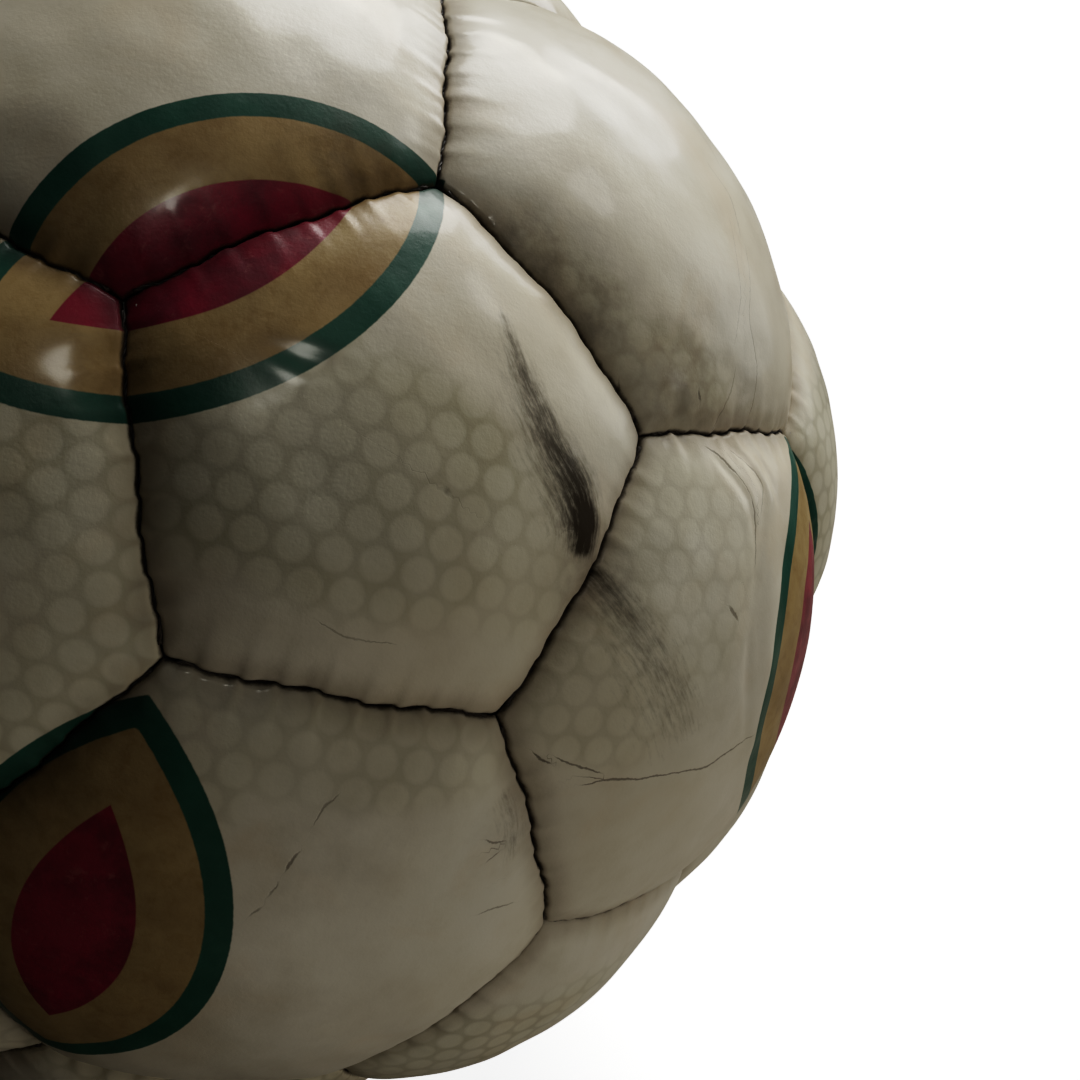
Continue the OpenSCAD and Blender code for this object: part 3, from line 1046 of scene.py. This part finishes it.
def cover_material():
    """Coated leather with its print, dirt, scuffs and cracks, and painted shade on a few patches and in the
    seams.
    """
    m = Shader("cover_leather")
    where = m.place_mm()
    seam = m.stored("seam", "Fac")
    blotch = m.noise(where, 0.16, 4, 0.6)
    fine = m.noise(where, 1.1, 4, 0.6)

    color = m.mix(m.step(m.noise(where, 0.028, 3), 0.35, 0.68), CREAM, CREAM_WARM)
    color = m.stain(m.step(blotch, 0.42, 0.75, 0, 0.3), color, (0.80, 0.77, 0.70))
    color = m.stain(m.step(m.noise(where, 0.05, 4, 0.6, 0.8), 0.48, 0.72, 0, 0.5), color, (0.95, 0.87, 0.79))
    color, raised = dot_print(m, where, color, blotch)
    color = leaf_print(m, where, color, blotch, fine)

    # Dirt smudges mixed with painted shade beside some seams, a browner band along every seam, and specks of
    # dirt
    patchy = m.step(m.noise(where, 0.22, 5, 0.62), 0.34, 0.68)
    smudge_and_shade = m.times(m.stored("grime_and_shade", "Fac"), m.plus(m.times(patchy, 0.5), 0.35), clamp=True)
    color = m.mix(m.times(smudge_and_shade, 0.8), color, GRIME_AND_SHADE)
    # darker and browner within a few mm of every seam, unevenly
    color = m.stain(m.step(m.shaken(seam, blotch, 5.0), 4.6, 0.2, 0, 0.42), color, SEAM_SIDE_BROWN)
    color = m.mix(m.step(m.noise(where, 0.55, 8, 0.85), 0.70, 0.76, 0, 0.5), color, GRIME_AND_SHADE)

    scuff, crack = scuff_mask(m), crack_mask(m, where)
    color = m.mix(scuff, color, SOOT)
    color = m.mix(m.times(crack, 0.8), color, CRACK)
    # dirt and painted shade: a dark line in the groove where two rims meet
    color = m.mix(m.step(m.shaken(seam, fine, 0.45), 0.4, 0.02, 0, 0.85), color, SEAM_GROOVE_DIRT_AND_SHADE)
    # painted shade: near black on the turned-in rim down in the seam gap, and on the hidden inner face
    color = m.mix(m.step(seam, 0.0, -0.6), color, GAP_SHADE_AND_BACKING)

    # The glossy coat: smooth, a little orange peel, dull where it is scuffed, on the smudges and on the
    # patches of painted shade
    rough = m.step(m.noise(where, 0.12, 4, 0.6), 0.3, 0.7, 0.36, 0.5)
    rough = m.plus(rough, m.times(m.plus(scuff, m.times(smudge_and_shade, 0.6)), 0.3))
    rough = m.plus(rough, m.step(seam, 1.0, -0.3, 0, 0.4), clamp=True)
    normal = m.bump(m.plus(m.noise(where, 2.6, 3, 0.6), m.times(m.noise(where, 0.7, 2), 1.6)), 0.4, 0.06)
    normal = m.bump(m.times(crack, -1.0), 0.5, 0.15, normal)
    normal = m.bump(raised, 0.2, 0.02, normal)
    clean = m.minus(1.0, m.times(scuff, 0.85), clamp=True)
    return m.finish(color, rough, normal, coat_weight=m.times(m.step(seam, 0.0, 1.2, 0, 0.2), clean),
                    coat_roughness=0.13, specular_ior_level=m.times(clean, 0.24))


def thread_material():
    m = Shader("waxed_thread")
    where = m.place_mm()
    fibre = m.noise(where, 3.5, 4, 0.7)
    dust = m.step(m.noise(where, 0.4, 4), 0.55, 0.8, 0, 0.35)
    color = m.mix(dust, m.mix(fibre, (0.05, 0.036, 0.024), (0.012, 0.009, 0.007)), (0.12, 0.09, 0.06))
    return m.finish(color, m.step(fibre, 0.3, 0.7, 0.45, 0.7), m.bump(fibre, 0.6, 0.05))


def foam_material():
    m = Shader("foam")
    where = m.place_mm()
    pores = m.node("TexVoronoi", {"Vector": where, "Scale": 1.4}).outputs[0]
    color = m.mix(m.step(pores, 0.0, 0.5), (0.50, 0.47, 0.40), (0.74, 0.72, 0.66))
    color = m.stain(m.step(m.noise(where, 0.08, 3), 0.4, 0.7, 0, 0.5), color, (0.88, 0.83, 0.70))
    return m.finish(color, 0.85, m.bump(pores, 0.7, 0.25), sheen_weight=0.1)


def cloth_material(name, warp, weft, pitch, gloss=0.85):
    """A plain weave, drawn on the sphere's own angles."""
    m = Shader(name)
    where = m.place_mm()
    x, y, z = m.parts(where)
    around = m.times(m.calc("ARCTAN2", y, x), CROWN)
    upward = m.times(m.calc("ARCSINE", m.calc("DIVIDE", z, m.length_of(where))), CROWN)
    one, two = (m.calc("SINE", m.times(run, 2 * math.pi / pitch)) for run in (around, upward))
    over = m.step(m.times(one, two), -0.2, 0.2)
    slub = m.step(m.noise(where, 0.5, 4, 0.7), 0.4, 0.75, 0, 0.6)
    color = m.stain(slub, m.mix(over, warp, weft), (0.72, 0.68, 0.58))
    height = m.plus(m.times(over, 0.6), m.calc("ABSOLUTE", one))
    return m.finish(color, gloss, m.bump(height, 0.6, 0.15), sheen_weight=0.2)


def rubber_material(name, dark, light, gloss, grain):
    """Rubber with a pale bloom and specks."""
    m = Shader(name)
    where = m.place_mm()
    bloom = m.noise(where, 0.09, 5, 0.65)
    speck = m.step(m.noise(where, 2.2, 5, 0.75), 0.62, 0.8, 0, 0.5)
    color = m.mix(m.step(bloom, 0.35, 0.7), dark, light)
    color = m.mix(speck, color, tuple(1.6 * c + 0.02 for c in light))
    rough = m.step(bloom, 0.3, 0.7, gloss - 0.08, gloss + 0.12)
    normal = m.bump(m.noise(where, grain, 4, 0.6), 0.3, 0.05)
    return m.finish(color, rough, normal, specular_ior_level=0.4)


# ---- build

def set_pull(panel, other, amount, saw=1.0):
    """How hard the seam to another panel puckers this one, and how much of its zigzag stays."""
    for seam, side, _ in panel.sides:
        if any(seam is s for s, _, _ in other.sides):
            seam.pull[side] = amount
            seam.saw *= saw


set_pull(MIDDLE_RIGHT, UPPER_RIGHT, 2.6)
set_pull(UPPER_RIGHT, MIDDLE_RIGHT, 1.8)
set_pull(FRONT, UPPER_RIGHT, 0.5, 0.5)
set_pull(FRONT, UPPER_LEFT, 0.5)
set_pull(UPPER_RIGHT, FRONT, 0.9)

leather, foam, cord = cover_material(), foam_material(), thread_material()
lining = cloth_material("lining_cloth", (0.62, 0.55, 0.40), (0.50, 0.44, 0.32), 0.9)
for panel in PANELS:
    make_cover(panel, leather)
for kind in ("pentagon", "hexagon"):
    make_layer(kind, f"{kind}_foam_pads", f"{kind}_foam_cushions", foam, "foam", pad_top, pad_base)
    make_layer(kind, f"{kind}_linings", f"{kind}_lining_cloths", lining, "lining_cloth",
               lining_top, lining_base)
    make_threads(kind, cord)

FINISHES = {
    "bladder": rubber_material("bladder_rubber", (0.006, 0.006, 0.007), (0.02, 0.02, 0.021), 0.42, 0.35),
    "valve_housing": rubber_material("valve_rubber", (0.26, 0.245, 0.21), (0.36, 0.34, 0.30), 0.6, 1.2),
    "valve_plug": rubber_material("plug_rubber", (0.010, 0.010, 0.011), (0.03, 0.03, 0.031), 0.5, 1.6),
    "valve_patch": cloth_material("valve_patch_cloth", (0.07, 0.08, 0.075), (0.045, 0.05, 0.048), 0.7, 0.7),
    "balance_patch": rubber_material("patch_rubber", (0.008, 0.008, 0.009), (0.03, 0.03, 0.031), 0.5, 0.6),
}
for node, material in FINISHES.items():
    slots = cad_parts[node].data.materials
    slots.clear()
    slots.append(material)

# ---- stage, light and camera

FLOOR_REACH = 40.0           # half the floor's side, in metres
WHITE_OUT = 1.5              # what the camera sees of the backdrop: well over white


def make_floor():
    """Pale paper that runs into the backdrop without an edge, and is clear when seen from below."""
    m = Shader("studio_floor")
    seen = m.node("LightPath").outputs["Is Camera Ray"]
    where = m.place_mm()
    near = m.step(m.length_of(where), 2000.0, 300.0)
    paper = m.mix(m.noise(where, 0.004, 2), (0.36, 0.36, 0.36), (0.38, 0.38, 0.378))
    east, _, _ = m.parts(where)
    # painted light: to the ball the floor is dark to the west and pale to the east, standing in for uneven
    # bounce light
    bounce = m.mix(m.step(east, -200.0, 200.0), (0.05, 0.039, 0.024), (0.19, 0.17, 0.14))
    matt = m.node("BsdfDiffuse", {"Color": m.mix(seen, bounce, m.mix(near, (0, 0, 0), paper))})
    level = m.minus(WHITE_OUT, m.times(near, 0.42))
    glow = m.node("Emission", {"Color": (1, 1, 1), "Strength": m.times(seen, level)})
    both = m.node("AddShader", {0: matt.outputs[0], 1: glow.outputs[0]})
    below = m.node("NewGeometry").outputs["Backfacing"]
    clear = m.node("BsdfTransparent")
    sheet = m.node("MixShader", {0: below, 1: both.outputs[0], 2: clear.outputs[0]})
    m.node("OutputMaterial", {0: sheet.outputs[0]})
    r, low = FLOOR_REACH, CAD_BOX[0].z
    corners = [(-r, -r, low), (r, -r, low), (r, r, low), (-r, r, low)]
    mesh = bpy.data.meshes.new("floor")
    mesh.from_pydata(corners, [], [(0, 1, 2, 3)])
    mesh.materials.append(m.material)
    floor = bpy.data.objects.new("floor", mesh)
    bpy.context.scene.collection.objects.link(floor)


def make_world(ambient):
    """White to the camera, and a faint even light to everything else."""
    world = bpy.data.worlds.new("studio")
    bpy.context.scene.world = world
    world.use_nodes = True
    tree = world.node_tree
    tree.nodes.clear()
    path = tree.nodes.new("ShaderNodeLightPath")
    mixed, output = tree.nodes.new("ShaderNodeMixShader"), tree.nodes.new("ShaderNodeOutputWorld")
    tree.links.new(path.outputs["Is Camera Ray"], mixed.inputs[0])
    for socket, tint, strength in ((1, (0.95, 0.97, 1.0, 1), ambient), (2, (1, 1, 1, 1), WHITE_OUT)):
        sky = tree.nodes.new("ShaderNodeBackground")
        sky.inputs[0].default_value = tint
        sky.inputs[1].default_value = strength
        tree.links.new(sky.outputs[0], mixed.inputs[socket])
    tree.links.new(mixed.outputs[0], output.inputs[0])


def make_lamp(name, towards, distance, size, level, tint=(1, 1, 1), matt=True, glossy=True):
    """A round soft box; level is what it adds to a white matt surface that faces it."""
    data = bpy.data.lights.new(name, "AREA")
    data.shape = "DISK"
    data.size = size
    data.color = tint
    data.energy = level * math.pi * distance ** 2 * math.pi
    lamp = bpy.data.objects.new(name, data)
    towards = Vector(towards).normalized()
    lamp.location = towards * distance
    lamp.rotation_mode = "QUATERNION"
    lamp.rotation_quaternion = towards.to_track_quat("Z", "Y")
    lamp.visible_diffuse = matt
    lamp.visible_glossy = glossy
    lamp.visible_camera = False
    bpy.context.scene.collection.objects.link(lamp)


make_floor()
make_world(ambient=0.01)
make_lamp("key", (0.08, 0.36, 0.93), 2.2, 1.2, 0.92, (1.0, 0.985, 0.95))
make_lamp("back_fill", (0.45, 0.5, 0.73), 2.2, 0.9, 0.28, (0.97, 0.98, 1.0))
make_lamp("right_fill", (0.85, 0.25, 0.45), 2.0, 0.9, 0.09, (0.92, 0.97, 1.0))
make_lamp("side_fill", (0.80, -0.60, 0.15), 2.2, 0.8, 0.23, (1.0, 0.98, 0.94), glossy=False)
make_lamp("low_fill", (0.35, -0.92, 0.17), 2.2, 0.8, 0.03, (1.0, 0.97, 0.93), glossy=False)
make_lamp("west_fill", (-0.85, 0.50, 0.15), 2.2, 0.9, 0.2, (0.98, 0.99, 1.0), glossy=False)
make_lamp("glint_front", (-0.32, -0.64, 0.69), 2.0, 0.24, 0.1, (1.0, 0.97, 0.86), matt=False)
make_lamp("glint_top", (0.45, -0.06, 0.90), 2.0, 0.3, 0.04, matt=False)
make_lamp("glint_right", (0.87, -0.32, 0.37), 2.0, 0.25, 0.012, matt=False)

camera_data = bpy.data.cameras.new("camera")
camera_data.sensor_width = 36
camera_data.lens = 43.75
camera_data.clip_start, camera_data.clip_end = 0.01, 100
camera = bpy.data.objects.new("camera", camera_data)
camera.location = Vector((-36.57, -239.22, 92.98)) * MM
camera.rotation_euler = [math.radians(turn) for turn in (70.172, -18.808, -14.877)]
bpy.context.scene.collection.objects.link(camera)
bpy.context.scene.camera = camera

# Tone curve: darks a little deeper and highlights softer than the plain view
view = bpy.context.scene.view_settings
view.view_transform = "Standard"
view.use_curve_mapping = True
view.curve_mapping.use_clip = False
tones = view.curve_mapping.curves[3].points
tones[1].location = (1.4, 1.0)
for tone in ((0.03, 0.016), (0.08, 0.058), (0.16, 0.148), (0.32, 0.33), (0.55, 0.55), (0.9, 0.76)):
    tones.new(*tone)
view.curve_mapping.update()
